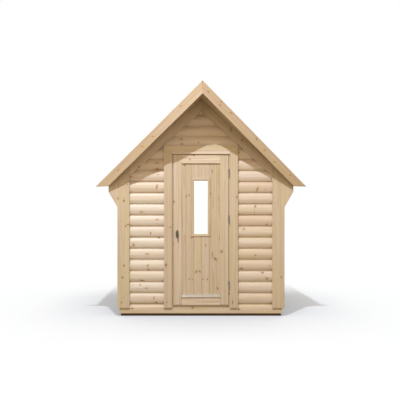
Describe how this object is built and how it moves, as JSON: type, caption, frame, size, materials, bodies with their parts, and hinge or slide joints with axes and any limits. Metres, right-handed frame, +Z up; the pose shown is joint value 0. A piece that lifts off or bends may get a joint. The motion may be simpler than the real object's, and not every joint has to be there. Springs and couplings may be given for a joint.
{
  "type": "outdoor sauna",
  "caption": "small gabled timber garden sauna with round-log walls, plain corner boards, a boarded door with a narrow window, and a roof that runs out to a prow at the ridge",
  "frame": {"origin": "on the ground, under the middle of the log walls' plan", "axes": "+Z up, the front with the door faces -Y, +X is to the right seen from the front"},
  "size_m": [2.5208, 2.5738, 2.6909],
  "materials": {
    "spruce_logs": "planed round-face spruce logs, untreated",
    "spruce_trim": "planed spruce boards, untreated",
    "spruce_door": "planed spruce, lightly oiled",
    "spruce_roof": "planed spruce boards, untreated",
    "treated_bearers": "dark impregnated softwood",
    "satin_glass": "white satin safety glass",
    "mill_aluminium": "mill-finish aluminium weather bar, lightly dulled",
    "grey_steel": "dull grey plated steel"
  },
  "bodies": {
    "cabin": {"ground_bearers": "treated_bearers", "floor_boards": "spruce_trim", "front_sill": "spruce_trim", "back_sill": "spruce_trim", "side_sills": "spruce_trim", "front_wall_left": "spruce_logs", "front_wall_right": "spruce_logs", "front_gable": "spruce_logs", "back_wall": "spruce_logs", "left_wall": "spruce_logs", "right_wall": "spruce_logs", "front_corner_left": "spruce_trim", "front_corner_right": "spruce_trim", "back_corner_boards": "spruce_trim", "left_corner_boards": "spruce_trim", "right_corner_boards": "spruce_trim", "front_rake_left": "spruce_trim", "front_rake_right": "spruce_trim", "back_rakes": "spruce_trim", "door_jambs": "spruce_door", "door_head": "spruce_door", "threshold": "spruce_trim", "casing_left": "spruce_trim", "casing_right": "spruce_trim", "casing_head": "spruce_trim", "ceiling_left": "spruce_roof", "ceiling_right": "spruce_roof", "rafters_left": "spruce_roof", "rafters_right": "spruce_roof", "roof_boards_left": "spruce_roof", "roof_boards_right": "spruce_roof", "eave_boards": "spruce_trim", "front_barge_left": "spruce_roof", "front_barge_right": "spruce_roof", "back_barges": "spruce_roof", "frame_hinges": "grey_steel"},
    "door": {"door_stiles": "spruce_door", "door_rails": "spruce_door", "door_boards": "spruce_door", "door_drip_rail": "mill_aluminium", "window_beads": "spruce_door", "window_glass": "satin_glass", "door_pulls": "grey_steel", "door_hinges": "grey_steel"}
  },
  "joints": [
    {"name": "door_hinge", "type": "hinge", "parent": "cabin", "child": "door", "pos_m": [0.34025, -0.992, 1.16], "axis": [0, 0, 1], "range_deg": [0, 110]}
  ]
}
